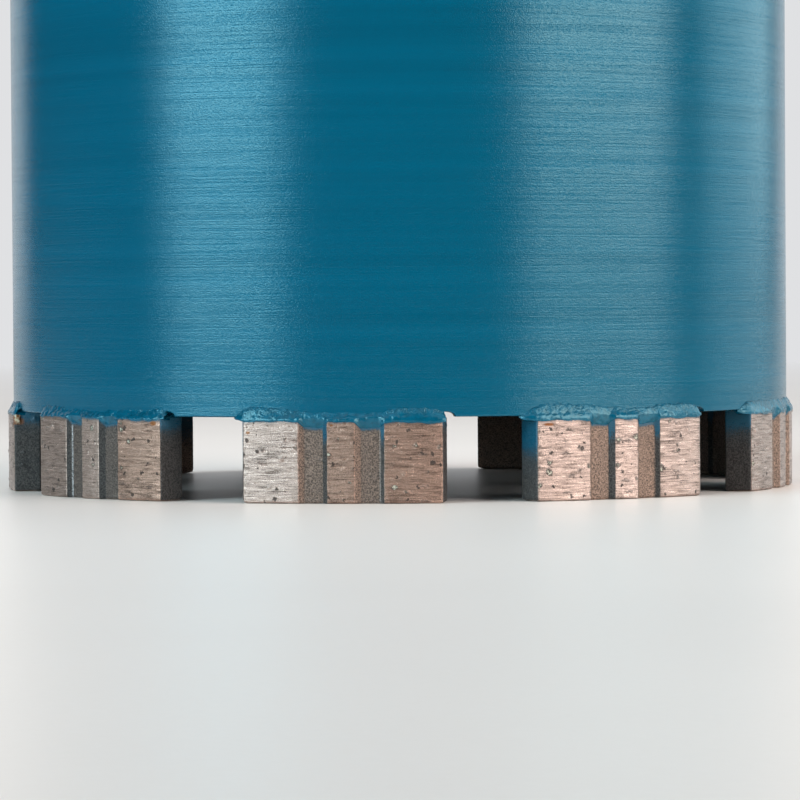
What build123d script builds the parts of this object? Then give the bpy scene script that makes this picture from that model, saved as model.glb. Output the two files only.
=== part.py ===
from build123d import *
import math
import os

# A wet diamond core bit, standing on its cutting segments.
# Millimetres and degrees. The origin is on the drilling axis in the cutting
# plane, and +Z runs up the barrel to the threaded hub.

# ---------------------------------------------------------------- dimensions

BIT_DIAMETER = 102.0            # over the segments: the hole that the bit cuts
BARREL_DIAMETER = 100.5
BARREL_WALL = 2.0
BARREL_TOP = 450.0              # cutting plane to the barrel's upper end

SEGMENT_COUNT = 9
FIRST_SEGMENT_ANGLE = -97.9     # middle of segment 1, measured from +X
SEGMENT_LENGTH = 24.0           # along the chord, between parallel end faces
SEGMENT_HEIGHT = 10.0
SEGMENT_THICKNESS = 3.3
END_CORNER_RADIUS = 0.6         # lower corners, seen from outside
INNER_EDGE_CHAMFER = 0.7        # lower edge on the barrel's side

GROOVE_OFFSET = 3.4             # groove middle, either side of the segment's middle
GROOVE_FLOOR = 2.25             # width of the groove's floor
GROOVE_DEPTH = 0.65             # its walls stand at 45 degrees

BRAZE_FILM = 0.15               # solder between a segment and the barrel
BEAD_RISE = 1.35                # mean height of the fillet above the joint
BEAD_DROP = 0.38                # mean reach of the fillet below the joint
BEAD_PROUD = 0.12               # how far the fillet stands out of the segment
FLARE_LENGTHS = (1.15, 1.0, 1.2, 0.7, 0.9, 1.1, 0.6, 0.8, 0.5)
TAIL_LENGTH = 0.35              # how far a bead runs past a segment's other end
BEAD_SPANS = 5                  # lofted spans along a segment
NOTCH_RADIUS = 0.7              # bite in the barrel's edge where a bead ends

PLATE_THICKNESS = 8.0
PLATE_REGISTER = 3.0            # depth of the step that centres it in the barrel
PLATE_EDGE = 1.5
WELD_PREPARATION = 1.2
WELD_CROWN = 0.5

HUB_DIAMETER = 48.0
HUB_SPIGOT_DIAMETER = 40.0      # the part of the hub that sits in the plate
HUB_HEIGHT = 32.0               # above the plate
HUB_EDGE = 1.5
WRENCH_WIDTH = 41.0
WRENCH_HEIGHT = 22.0
THREAD_BORE_DIAMETER = 28.0     # crest of a 1 1/4"-7 UNC female thread
MOUTH_DIAMETER = 33.0
HUB_WELD_LEG = 4.0

# ---------------------------------------------------------- what they give

BIT_RADIUS = BIT_DIAMETER / 2
SEGMENT_INNER = BIT_RADIUS - SEGMENT_THICKNESS
BARREL_OUTER = BARREL_DIAMETER / 2
BARREL_INNER = BARREL_OUTER - BARREL_WALL
JOINT = SEGMENT_HEIGHT
BARREL_BOTTOM = JOINT + BRAZE_FILM
WALL_MIDDLE = (BARREL_OUTER + BARREL_INNER) / 2
HALF_LENGTH = SEGMENT_LENGTH / 2
SEGMENT_PITCH = 360 / SEGMENT_COUNT

PLATE_TOP = BARREL_TOP + PLATE_THICKNESS
PLATE_UNDERSIDE = BARREL_TOP - PLATE_REGISTER
HUB_TOP = PLATE_TOP + HUB_HEIGHT
HUB_RADIUS = HUB_DIAMETER / 2
SPIGOT_RADIUS = HUB_SPIGOT_DIAMETER / 2
BORE_RADIUS = THREAD_BORE_DIAMETER / 2
MOUTH_RADIUS = MOUTH_DIAMETER / 2


def profile(*points):
    """A closed outline of (radius, height) points in the plane through the axis."""
    return make_face(Polyline(*[(radius, 0, height) for radius, height in points], close=True))


def turned(*points):
    """A ring or disc turned from a closed outline of (radius, height) points."""
    return revolve(profile(*points), Axis.Z)


def facing(solid, number):
    """A piece made facing +X, turned to the place of segment number 1, 2, 3..."""
    angle = FIRST_SEGMENT_ANGLE + (number - 1) * SEGMENT_PITCH
    return Rot(0, 0, angle) * solid


# ------------------------------------------------------------------- segment

def segment_ring():
    """A ring with the segment's section, its inner lower edge taken off."""
    return turned(
        (SEGMENT_INNER + INNER_EDGE_CHAMFER, 0),
        (BIT_RADIUS, 0),
        (BIT_RADIUS, SEGMENT_HEIGHT),
        (SEGMENT_INNER, SEGMENT_HEIGHT),
        (SEGMENT_INNER, INNER_EDGE_CHAMFER),
    )


def segment_front():
    """The segment's outline seen from outside, with its lower corners rounded."""
    front = Rectangle(SEGMENT_LENGTH, SEGMENT_HEIGHT, align=(Align.CENTER, Align.MIN))
    front = fillet(front.vertices().sort_by(Axis.Y)[:2], END_CORNER_RADIUS)
    return Plane.YZ * front


def groove(middle, face_radius, outward):
    """A trapezoid channel up one face of the segment, outward being +1 or -1."""
    surface = math.sqrt(face_radius ** 2 - middle ** 2)
    floor = surface - outward * GROOVE_DEPTH
    mouth = floor + outward * 2 * GROOVE_DEPTH
    half_floor = GROOVE_FLOOR / 2
    half_mouth = half_floor + 2 * GROOVE_DEPTH
    outline = Polyline(
        (floor, middle - half_floor),
        (floor, middle + half_floor),
        (mouth, middle + half_mouth),
        (mouth, middle - half_mouth),
        close=True,
    )
    return Pos(0, 0, -1) * extrude(make_face(outline), SEGMENT_HEIGHT + 2, dir=(0, 0, 1))


def diamond_segment():
    """A curved block of sintered metal with two channels up each face."""
    block = extrude(segment_front(), BIT_RADIUS + 1, dir=(1, 0, 0))
    segment = segment_ring() & block
    for middle in (-GROOVE_OFFSET, GROOVE_OFFSET):
        segment -= groove(middle, BIT_RADIUS, 1)
        segment -= groove(middle, SEGMENT_INNER, -1)
    return segment


# ---------------------------------------------------------------- braze bead

def lump(along, number):
    """Unevenness of a bead, about -1 to 1, for each place along its length."""
    slow = math.sin(0.52 * along + 2.1 * number)
    quick = math.sin(1.37 * along - 1.3 * number)
    return 0.6 * slow + 0.4 * quick


def bead_section(along, number):
    """The outer fillet's outline where it passes a place along the chord."""
    rise = BEAD_RISE + 0.35 * lump(along, number)
    drop = BEAD_DROP + 0.12 * lump(along + 5, number)
    return (
        (WALL_MIDDLE, JOINT + 0.5),
        (BARREL_OUTER - 0.25, JOINT + rise + 0.15),
        (BARREL_OUTER + 0.35, JOINT + 0.7 * rise),
        (BIT_RADIUS + BEAD_PROUD, JOINT + 0.15),
        (BIT_RADIUS - 0.12, JOINT - drop),
        (WALL_MIDDLE, JOINT - drop - 0.3),
    )


def bead_outline(along, number, size):
    """The section at one place, drawn in to a share of its size round the joint."""
    turn = math.degrees(math.asin(along / BIT_RADIUS))
    points = []
    for radius, height in bead_section(along, number):
        drawn_radius = WALL_MIDDLE + size * (radius - WALL_MIDDLE)
        drawn_height = BARREL_BOTTOM + size * (height - BARREL_BOTTOM)
        points.append((drawn_radius, 0, drawn_height))
    return Rot(0, 0, turn) * make_face(Polyline(*points, close=True))


def outer_fillet(number):
    """The lumpy strip of solder outside, with a flare at one end."""
    start = -HALF_LENGTH
    flare = FLARE_LENGTHS[number - 1]
    stations = [(start - flare, 0.2), (start - 0.6 * flare, 0.7), (start, 1.0)]
    for step in range(1, BEAD_SPANS):
        stations.append((start + step * SEGMENT_LENGTH / BEAD_SPANS, 1.0))
    stations += [(HALF_LENGTH, 0.9), (HALF_LENGTH + TAIL_LENGTH, 0.25)]
    outlines = [bead_outline(along, number, size) for along, size in stations]
    return loft(outlines, ruled=True)


def inner_fillet():
    """The even strip of solder inside the barrel."""
    half_turn = math.degrees(math.asin(HALF_LENGTH / BIT_RADIUS))
    section = profile(
        (WALL_MIDDLE, JOINT),
        (WALL_MIDDLE, JOINT + 0.5),
        (BARREL_INNER + 0.25, JOINT + BEAD_RISE),
        (SEGMENT_INNER, JOINT),
    )
    return revolve(Rot(0, 0, -half_turn) * section, Axis.Z, revolution_arc=2 * half_turn)


def barrel_wall():
    """The plain rolled and welded tube."""
    return turned(
        (BARREL_INNER, BARREL_BOTTOM),
        (BARREL_OUTER, BARREL_BOTTOM),
        (BARREL_OUTER, BARREL_TOP - WELD_PREPARATION),
        (BARREL_OUTER - WELD_PREPARATION, BARREL_TOP),
        (BARREL_INNER, BARREL_TOP),
    )


def braze_bead(number, wall, segment):
    """A bead in its place: the film in the joint and the fillets beside it."""
    strips = outer_fillet(number) + inner_fillet()
    return facing(strips - segment, number) - wall


def edge_notch():
    """A small round bite in the barrel's edge, just past a segment's end."""
    along = HALF_LENGTH + TAIL_LENGTH + NOTCH_RADIUS
    turn = math.degrees(math.asin(along / BARREL_OUTER))
    drill = Rot(0, 90, 0) * Cylinder(NOTCH_RADIUS, 4 * BARREL_WALL)
    return Rot(0, 0, turn) * Pos(WALL_MIDDLE, 0, BARREL_BOTTOM) * drill


def barrel_tube(wall):
    """The tube with the bites that brazing left in its lower edge."""
    for number in range(1, SEGMENT_COUNT + 1):
        wall -= facing(edge_notch(), number)
    return wall


# --------------------------------------------------------------- hub and end

def end_plate():
    """A thick disc that closes the barrel, with a step inside the tube."""
    return turned(
        (SPIGOT_RADIUS, PLATE_UNDERSIDE),
        (BARREL_INNER, PLATE_UNDERSIDE),
        (BARREL_INNER, BARREL_TOP),
        (BARREL_OUTER - WELD_PREPARATION, BARREL_TOP),
        (BARREL_OUTER, BARREL_TOP + WELD_PREPARATION),
        (BARREL_OUTER, PLATE_TOP - PLATE_EDGE),
        (BARREL_OUTER - PLATE_EDGE, PLATE_TOP),
        (SPIGOT_RADIUS, PLATE_TOP),
    )


def plate_weld():
    """The ring weld that fills the V between barrel and plate, slightly proud."""
    return turned(
        (BARREL_OUTER - WELD_PREPARATION, BARREL_TOP),
        (BARREL_OUTER, BARREL_TOP - WELD_PREPARATION),
        (BARREL_OUTER + WELD_CROWN, BARREL_TOP),
        (BARREL_OUTER, BARREL_TOP + WELD_PREPARATION),
    )


def threaded_hub():
    """The turned boss that screws on to the drill spindle."""
    hub = turned(
        (BORE_RADIUS, PLATE_UNDERSIDE),
        (SPIGOT_RADIUS, PLATE_UNDERSIDE),
        (SPIGOT_RADIUS, PLATE_TOP),
        (HUB_RADIUS, PLATE_TOP),
        (HUB_RADIUS, HUB_TOP - HUB_EDGE),
        (HUB_RADIUS - HUB_EDGE, HUB_TOP),
        (MOUTH_RADIUS, HUB_TOP),
        (BORE_RADIUS, HUB_TOP - (MOUTH_RADIUS - BORE_RADIUS)),
    )
    waste = Box(HUB_DIAMETER, HUB_DIAMETER, WRENCH_HEIGHT, align=(Align.MIN, Align.CENTER, Align.MAX))
    for turn in (0, 180):
        hub -= Rot(0, 0, turn) * Pos(WRENCH_WIDTH / 2, 0, HUB_TOP) * waste
    return hub


def hub_weld():
    """The fillet weld round the foot of the hub."""
    return turned(
        (HUB_RADIUS, PLATE_TOP),
        (HUB_RADIUS + HUB_WELD_LEG, PLATE_TOP),
        (HUB_RADIUS, PLATE_TOP + HUB_WELD_LEG),
    )


# -------------------------------------------------------------------- output

def pieces():
    """Every piece of the bit by name."""
    wall = barrel_wall()
    segment = diamond_segment()
    made = {
        "barrel_tube": barrel_tube(wall),
        "end_plate": end_plate(),
        "plate_weld": plate_weld(),
        "threaded_hub": threaded_hub(),
        "hub_weld": hub_weld(),
    }
    for number in range(1, SEGMENT_COUNT + 1):
        made[f"segment_{number}"] = facing(segment, number)
        made[f"braze_bead_{number}"] = braze_bead(number, wall, segment)
    return made


os.makedirs("parts", exist_ok=True)
for name, solid in pieces().items():
    export_step(solid, f"parts/{name}.step")
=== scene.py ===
import math

import bmesh
import bpy
import numpy as np
from bpy.props import FloatProperty, FloatVectorProperty, PointerProperty
from mathutils import Matrix, Vector


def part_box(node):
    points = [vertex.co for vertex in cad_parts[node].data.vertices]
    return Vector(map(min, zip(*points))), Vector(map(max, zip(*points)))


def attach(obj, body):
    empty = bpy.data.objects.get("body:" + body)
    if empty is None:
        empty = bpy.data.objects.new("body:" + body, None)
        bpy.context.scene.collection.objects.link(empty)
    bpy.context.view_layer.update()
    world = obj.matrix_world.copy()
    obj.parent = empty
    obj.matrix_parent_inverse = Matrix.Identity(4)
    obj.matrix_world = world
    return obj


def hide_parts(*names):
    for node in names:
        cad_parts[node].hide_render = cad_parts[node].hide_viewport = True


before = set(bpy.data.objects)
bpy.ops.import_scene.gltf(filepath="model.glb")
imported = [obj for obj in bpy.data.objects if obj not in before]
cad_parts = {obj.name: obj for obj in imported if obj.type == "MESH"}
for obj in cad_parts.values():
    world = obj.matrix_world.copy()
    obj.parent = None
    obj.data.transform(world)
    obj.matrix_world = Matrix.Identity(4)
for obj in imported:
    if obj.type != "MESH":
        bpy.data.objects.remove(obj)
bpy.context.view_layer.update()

bl_info = {
    "name": "Wet core bit",
    "version": (1, 0, 0),
    "blender": (4, 5, 0),
    "location": "View3D > Sidebar > Core bit",
    "description": "Builds a painted diamond core bit with grooved segments on a pale studio floor",
    "category": "Add Mesh",
}

MM = 0.001
SEGMENT_COUNT = sum(name.startswith("segment_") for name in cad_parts)
SEGMENT_PITCH = 2 * math.pi / SEGMENT_COUNT
FIRST_ANGLE = math.radians(-97.9)   # middle of segment_1 from +X, anticlockwise from above
BARREL_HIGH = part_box("barrel_tube")[1]
HUB_LOW, HUB_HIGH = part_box("threaded_hub")
PLATE_LOW, PLATE_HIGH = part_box("end_plate")
THREAD_BOTTOM = HUB_HIGH.z - 43 * MM  # where the thread runs out
MIST_TOP = PLATE_HIGH.z + 8.5 * MM   # where the paint that drifted up the hub ends
BEAD_TAIL = 0.35 * MM                # how far a bead runs past the right end of its segment
JOINT_FILM = 0.15 * MM               # solder between a segment and the tube
TUBE_BEVEL = 1.2 * MM                # weld preparation on the tube and on the plate
CORNER_ROUND = 0.6 * MM              # rounding of a segment's lower corners
UPRIGHT_ROUND = 0.18 * MM            # rounding of its upright edges
SPIGOT_RADIUS = 20 * MM              # end of the hub that sits in the plate
OUTSIDE = 0.03                       # share of a segment's thickness that counts as its outer face
ENAMEL_TINT = "#CBFFFF"              # flake in the enamel turns its gloss a little blue-green
REFLECTION_SHADE_GREY = "#454545"                # the table past the lit paper, seen only by reflected and bounced light: painted shade in the reflections

# rust spots on a segment: place along it, height, half length and half height, in millimetres
STAINS = {1: ((-11.3, 8.35, 0.30, 0.20), (-1.1, 9.25, 0.30, 0.12)), 2: ((-10.5, 9.1, 0.75, 0.22),),
          8: ((11.4, 8.8, 0.5, 0.9), (12.0, 8.9, 0.3, 0.45)), 9: ((10.9, 9.35, 0.55, 0.32),),
          5: ((4.0, 9.2, 0.5, 0.25),), 6: ((-8.0, 9.3, 0.4, 0.2),)}
# painted shade: how far a segment's channels are darkened to the dark colour of the mould's skin, on the
# floors and on the walls
CHANNEL_SHADE = {1: (0.42, 0.2), 6: (0.75, 0.75), 7: (0.75, 0.75), 8: (0.75, 0.9), 9: (0.78, 1.0)}
# painted highlight: a pale line painted along some channel corners, where a corner catches the light:
# segment, channel, side of its floor, how much
GLINT_CORNERS = ((9, -1, -1, 1.0), (1, 1, 1, 0.55))
# beads with a crest of their own: place along the segment, height above the joint and how far
# the crest stands out, in millimetres
CRESTS = {
    1: ((-13.2, 0.45, 0.25), (-12.4, 0.9, 0.3), (-11.2, 1.3, 0.3), (-9.5, 1.25, 0.2), (-7.4, 1.1, 0.15),
        (-4.7, 0.75, 0.12), (-3.6, 0.6, 0.15), (-1.8, 0.65, 0.1), (1.5, 0.65, 0.05), (3.0, 0.6, 0.0),
        (4.5, 0.65, 0.05), (5.2, 0.85, 0.2), (6.6, 1.05, 0.2), (9.7, 1.1, 0.2), (12, 0.95, 0.15)),
    2: ((-13.2, 0.6, 0.3), (-12.3, 1.1, 0.4), (-11, 1.5, 0.2), (-4, 1.2, 0.12), (-2, 0.9, 0.12),
        (0, 0.8, 0.12), (3.5, 0.8, 0.1), (5.5, 1.05, 0.22), (9.0, 1.2, 0.3), (11, 1.1, 0.3),
        (12, 0.95, 0.25)),
    3: ((-13.3, 0.6, 0.3), (-12, 1.1, 0.35), (-9, 1.2, 0.25), (-5, 1.05, 0.15), (0, 1.0, 0.12),
        (6, 1.1, 0.2), (12, 1.0, 0.2)),
    8: ((-12.8, 0.5, 0.2), (0, 1.1, 0.15), (6, 1.15, 0.15), (9.0, 1.2, 0.2), (11.0, 1.4, 0.35),
        (12.0, 1.4, 0.4)),
    9: ((-12.7, 0.6, 0.25), (-11, 1.2, 0.2), (-8.5, 1.1, 0.1), (-4, 0.7, 0.03), (0, 0.6, 0.03),
        (4, 0.7, 0.02), (9, 0.8, 0.05), (12, 0.95, 0.12)),
}
# how far each bead runs past the left end of its segment, in millimetres
FLARES = (1.45, 1.9, 1.9, 0.7, 0.9, 1.1, 0.6, 0.8, 0.5)


# ------------------------------------------------------------------ small tools

def linear(code):
    """An sRGB hex colour such as "#005C78" as linear red, green and blue."""
    channels = [int(code[i:i + 2], 16) / 255 for i in (1, 3, 5)]
    return tuple(c / 12.92 if c <= 0.04045 else ((c + 0.055) / 1.055) ** 2.4 for c in channels)


def toned(colour, factor, added=0.0):
    """A colour made darker or lighter."""
    return tuple(min(1, c * factor + added) for c in colour)


def node(tree, kind, inputs=(), **settings):
    """Adds a node with its settings. A kind without "Node" in its name is a shader's.

    inputs are in order, or by name or place. Each is a value, a socket, or a node for its first output.
    """
    made = tree.nodes.new(kind if "Node" in kind else "ShaderNode" + kind)
    for name, value in settings.items():
        setattr(made, name, value)
    for key, value in inputs.items() if isinstance(inputs, dict) else enumerate(inputs):
        socket = made.inputs[key]
        if isinstance(value, bpy.types.Node):
            value = value.outputs[0]
        if isinstance(value, bpy.types.NodeSocket):
            tree.links.new(value, socket)
        elif socket.type == "RGBA":
            socket.default_value = (*value[:3], 1.0)
        else:
            socket.default_value = value
    return made


def mixed_sum(tree, *patterns):
    """Patterns added up, each with its share."""
    total = None
    for pattern, share in patterns:
        part = node(tree, "Math", (pattern, share), operation="MULTIPLY")
        total = part if total is None else node(tree, "Math", (total, part), operation="ADD")
    return total


def new_material(name):
    """An empty node material and its tree."""
    material = bpy.data.materials.new(name)
    material.use_nodes = True
    material.node_tree.nodes.clear()
    return material, material.node_tree


def mesh_object(name, points, faces):
    """A mesh object in the scene from points in metres."""
    mesh = bpy.data.meshes.new(name)
    mesh.from_pydata(np.asarray(points, float).tolist(), [], faces)
    mesh.update()
    made = bpy.data.objects.new(name, mesh)
    bpy.context.scene.collection.objects.link(made)
    return made


def close_rings(ring_count, ring_size, around=True):
    """Quads between rings of points. around joins the last ring to the first."""
    rings = np.arange(ring_count if around else ring_count - 1)
    spots = np.arange(ring_size)
    a, b = np.meshgrid(rings, spots, indexing="ij")
    c, d = (a + 1) % ring_count, (b + 1) % ring_size
    quads = np.stack([a * ring_size + b, c * ring_size + b, c * ring_size + d, a * ring_size + d], -1)
    return quads.reshape(-1, 4).tolist()


def capped_rings(ring_count, ring_size):
    """Quads between rings of points, with the first and the last ring closed."""
    faces = close_rings(ring_count, ring_size, around=False)
    faces.append(list(range(ring_size))[::-1])
    faces.append([(ring_count - 1) * ring_size + i for i in range(ring_size)])
    return faces


def lathe(name, outline, turns):
    """A closed outline of (radius, height) turned once round the axis."""
    outline = np.asarray(outline, float)
    angles = np.linspace(0, 2 * math.pi, turns, endpoint=False)
    rings = [np.column_stack([outline[:, 0] * math.cos(a), outline[:, 0] * math.sin(a), outline[:, 1]])
             for a in angles]
    return mesh_object(name, np.concatenate(rings), close_rings(turns, len(outline)))


def rounded(outline, radii, steps=5):
    """A closed outline with an arc at each corner, of that corner's radius."""
    outline = [np.asarray(p, float) for p in outline]
    out = []
    for i, (corner, radius) in enumerate(zip(outline, radii)):
        back = outline[i - 1] - corner
        ahead = outline[(i + 1) % len(outline)] - corner
        room = 0.45 * min(np.linalg.norm(back), np.linalg.norm(ahead))
        back, ahead = back / np.linalg.norm(back), ahead / np.linalg.norm(ahead)
        half = 0.5 * math.acos(max(-1.0, min(1.0, float(back @ ahead))))
        reach = min(radius / math.tan(half), room) if radius else 0.0
        if reach < 1e-7:
            out.append(corner)
            continue
        start, end = corner + back * reach, corner + ahead * reach
        for t in np.linspace(0, 1, steps):
            out.append((1 - t) ** 2 * start + 2 * t * (1 - t) * corner + t ** 2 * end)
    return np.array(out)


def finish_mesh(piece, angle):
    """Merges doubles, points the faces outwards and keeps edges sharper than angle, in degrees."""
    work = bmesh.new()
    work.from_mesh(piece.data)
    bmesh.ops.remove_doubles(work, verts=work.verts, dist=1e-7)
    bmesh.ops.recalc_face_normals(work, faces=work.faces)
    work.to_mesh(piece.data)
    work.free()
    piece.data.shade_smooth()
    piece.data.set_sharp_from_angle(angle=math.radians(angle))


def through_nodes(piece, tree, values):
    """Runs a Geometry Nodes tree on a piece with named input values, as a plain mesh."""
    modifier = piece.modifiers.new(tree.name, "NODES")
    modifier.node_group = tree
    for item in tree.interface.items_tree:
        if item.item_type == "SOCKET" and item.in_out == "INPUT" and item.name in values:
            modifier[item.identifier] = values[item.name]
    graph = bpy.context.evaluated_depsgraph_get()
    mesh = bpy.data.meshes.new_from_object(piece.evaluated_get(graph))
    piece.modifiers.remove(modifier)
    old = piece.data
    piece.data = mesh
    mesh.name = piece.name
    bpy.data.meshes.remove(old)
    return piece


def new_geometry_tree(name, sizes):
    """A Geometry Nodes tree whose named inputs are sizes in metres and a finish."""
    tree = bpy.data.node_groups.new(name, "GeometryNodeTree")
    tree.interface.new_socket("Geometry", in_out="INPUT", socket_type="NodeSocketGeometry")
    for label, size in sizes.items():
        made = tree.interface.new_socket(label, in_out="INPUT", socket_type="NodeSocketFloat")
        made.default_value = size
    tree.interface.new_socket("Finish", in_out="INPUT", socket_type="NodeSocketMaterial")
    tree.interface.new_socket("Geometry", in_out="OUTPUT", socket_type="NodeSocketGeometry")
    return tree, node(tree, "NodeGroupInput"), node(tree, "NodeGroupOutput")


def store(piece, name, values, kind="FLOAT"):
    """Keeps a value or vector at each point of a mesh."""
    made = piece.data.attributes.new(name, kind, "POINT")
    made.data.foreach_set("value" if kind == "FLOAT" else "vector", np.asarray(values, np.float32).ravel())


def settle(piece, slot, *nodes):
    """The piece stands for its CAD nodes, in the frame's one body."""
    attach(piece, "root")
    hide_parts(*nodes)
    return piece


def to_place(number, points):
    """Points made round +X, turned to the place of segment number 1, 2, 3..."""
    turn = FIRST_ANGLE + (number - 1) * SEGMENT_PITCH
    c, s = math.cos(turn), math.sin(turn)
    x, y, z = np.moveaxis(np.asarray(points, float), -1, 0)
    return np.stack([c * x - s * y, s * x + c * y, z], -1)


def smooth_step(low, high, x):
    """0 below low, 1 above high and a smooth rise between."""
    t = np.clip((np.asarray(x, float) - low) / (high - low), 0, 1)
    return t * t * (3 - 2 * t)


# ------------------------------------------------------------------ properties

def size_property(name, value, text):
    """A length in metres, shown with its unit."""
    return FloatProperty(name=name, description=text, default=value, min=0.0,
                         precision=5, unit="LENGTH", subtype="DISTANCE")


def colour_property(name, code, text):
    """A colour given as an sRGB hex code."""
    return FloatVectorProperty(name=name, description=text, default=linear(code), size=3,
                               min=0.0, max=1.0, subtype="COLOR")


def power_property(name, value, text):
    """A lamp's power in watts."""
    return FloatProperty(name=name, description=text, default=value, min=0.0, unit="POWER")


def light_colour(name, value, text):
    """A lamp's colour, linear."""
    return FloatVectorProperty(name=name, description=text, default=value, size=3,
                               min=0.0, max=1.0, subtype="COLOR")


class CoreBitSizes(bpy.types.PropertyGroup):
    """Sizes of the bit's pieces."""
    bit_radius: size_property("Cutting radius", 51.0 * MM, "Axis to the segments' outer faces")
    segment_thickness: size_property("Segment thickness", 3.3 * MM, "Outer face to inner face")
    segment_height: size_property("Segment height", 10.0 * MM, "Cutting plane to the joint")
    segment_length: size_property("Segment length", 24.0 * MM, "Between the parallel ends")
    groove_offset: size_property("Groove offset", 3.4 * MM, "Segment's middle to a groove's middle")
    groove_floor: size_property("Groove floor", 2.25 * MM, "Width of a groove's floor")
    groove_depth: size_property("Groove depth", 0.65 * MM, "Depth of a groove")
    barrel_radius: size_property("Barrel radius", BARREL_HIGH.x, "Axis to the barrel's outside")
    barrel_wall: size_property("Barrel wall", 2.0 * MM, "Thickness of the tube")
    notch_radius: size_property("Notch radius", 0.7 * MM, "Bite in the barrel's edge past each bead")
    bead_rise: size_property("Bead rise", 1.35 * MM, "Height of a bead with no crest of its own")
    bead_proud: size_property("Bead stand-out", 0.04 * MM, "How far the fillet leaves the face")
    thread_pitch: size_property("Thread pitch", 25.4 / 7 * MM, "Seven threads to the inch")
    thread_depth: size_property("Thread depth", 1.88 * MM, "Crest to root")


class CoreBitFinishes(bpy.types.PropertyGroup):
    """Colours of the bit's finishes."""
    paint: colour_property("Paint", "#00526C", "Sprayed metallic teal enamel")
    bond: colour_property("Metal bond", "#9E8B82", "Ground sintered bronze bond")
    bond_dark: colour_property("Unground bond", "#55483F", "Bond as it left the mould")
    grit: colour_property("Diamond grit", "#B9B6A6", "Diamond crystals standing in the bond")
    rust: colour_property("Rust", "#7A4A24", "Light rust on bare spots")
    flux: colour_property("Flux", "#CFC6AE", "Dried brazing flux")
    steel: colour_property("Turned steel", "#A9ABAD", "Bare turned steel")


class CoreBitStudio(bpy.types.PropertyGroup):
    """The floor, backdrop and lamps."""
    floor: colour_property("Floor", "#F0EAE5", "Matt pale studio floor")
    backdrop: colour_property("Backdrop", "#E0E1E3", "Paper backdrop far behind")
    cool: light_colour("Cool light", (0.68, 0.89, 0.96), "Daylight from the left softbox")
    cool_rim: light_colour("Rim light", (0.75, 0.95, 1.0), "Softbox behind on the right")
    warm: light_colour("Warm light", (1.0, 0.91, 0.86), "Lamplight from the right softbox")
    soft_warm: light_colour("Top light", (1.0, 0.82, 0.76), "Overhead softbox")
    lamp_left: power_property("Left lamp", 20.5, "Power of the left softbox")
    lamp_right: power_property("Right lamp", 21.0, "Power of the right softbox")
    lamp_rim: power_property("Rim lamp", 6.4, "Power of the softbox behind on the right")
    lamp_top: power_property("Top lamp", 16.0, "Power of the overhead softbox")
    fill: FloatProperty(name="Fill", description="Strength of the even light from all round",
                        default=0.30, min=0.0)


# ------------------------------------------------------------------ materials
#
# Noise scales are features a metre, so 5000 gives marks 0.2 mm across. A scale with three numbers
# stretches the marks along an axis.

def teal_enamel(finishes):
    """Brushed metallic enamel: sprayed on a ground tube, so the grinding lines show through the gloss."""
    material, tree = new_material("teal_enamel_on_ground_tube")
    place = node(tree, "TexCoord").outputs["Object"]
    # grinding lines run round the tube, 0.13 mm high and 11 mm long
    lines = node(tree, "VectorMath", (place, (90.0, 90.0, 7600.0)), operation="MULTIPLY")
    lines = node(tree, "TexNoise", {"Vector": lines, "Scale": 1.0, "Detail": 1.0})
    # a deeper scratch each 0.8 mm, 60 mm long
    strong = node(tree, "VectorMath", (place, (16.0, 16.0, 1300.0)), operation="MULTIPLY")
    strong = node(tree, "TexNoise", {"Vector": strong, "Scale": 1.0, "Detail": 2.0, "Roughness": 0.6})
    strong = node(tree, "Math", (strong, 0.5), operation="SUBTRACT")
    strong = node(tree, "Math", (strong,), operation="ABSOLUTE")
    strong = node(tree, "MapRange", (strong, 0.0, 0.07, 0.0, 1.0))
    # overspray grain, 0.15 mm across
    peel = node(tree, "TexNoise", {"Vector": place, "Scale": 6800.0, "Detail": 1.0})
    normal = node(tree, "Bump", {"Height": lines, "Distance": 0.005 * MM})
    normal = node(tree, "Bump", {"Height": strong, "Distance": 0.004 * MM, "Normal": normal})
    normal = node(tree, "Bump", {"Height": peel, "Distance": 0.018 * MM, "Normal": normal})
    # the gloss itself is broken by all three
    fine = node(tree, "MapRange", (peel, 0.35, 0.65, -0.32, 0.32))
    long = node(tree, "MapRange", (lines, 0.3, 0.7, -0.10, 0.10))
    deep = node(tree, "MapRange", (strong, 0.0, 1.0, 0.38, 0.54))
    gloss = node(tree, "Math", (fine, long), operation="ADD")
    gloss = node(tree, "Math", (gloss, deep), operation="ADD")
    # the colour drifts in bands 1.7 mm high
    tone = node(tree, "VectorMath", (place, (8.0, 8.0, 600.0)), operation="MULTIPLY")
    tone = node(tree, "TexNoise", {"Vector": tone, "Scale": 1.0, "Detail": 4.0})
    tone = node(tree, "MapRange", (tone, 0.3, 0.7, 0.0, 1.0))
    colour = node(tree, "Mix", {0: tone, 6: toned(finishes.paint, 0.92), 7: toned(finishes.paint, 1.06)},
                  data_type="RGBA").outputs[2]
    shader = node(tree, "BsdfPrincipled",
                  {"Base Color": colour, "Metallic": 0.10, "Roughness": 0.18, "Normal": normal,
                   "Specular IOR Level": gloss, "Specular Tint": linear(ENAMEL_TINT)})
    node(tree, "OutputMaterial", {"Surface": shader})
    return material


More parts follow.
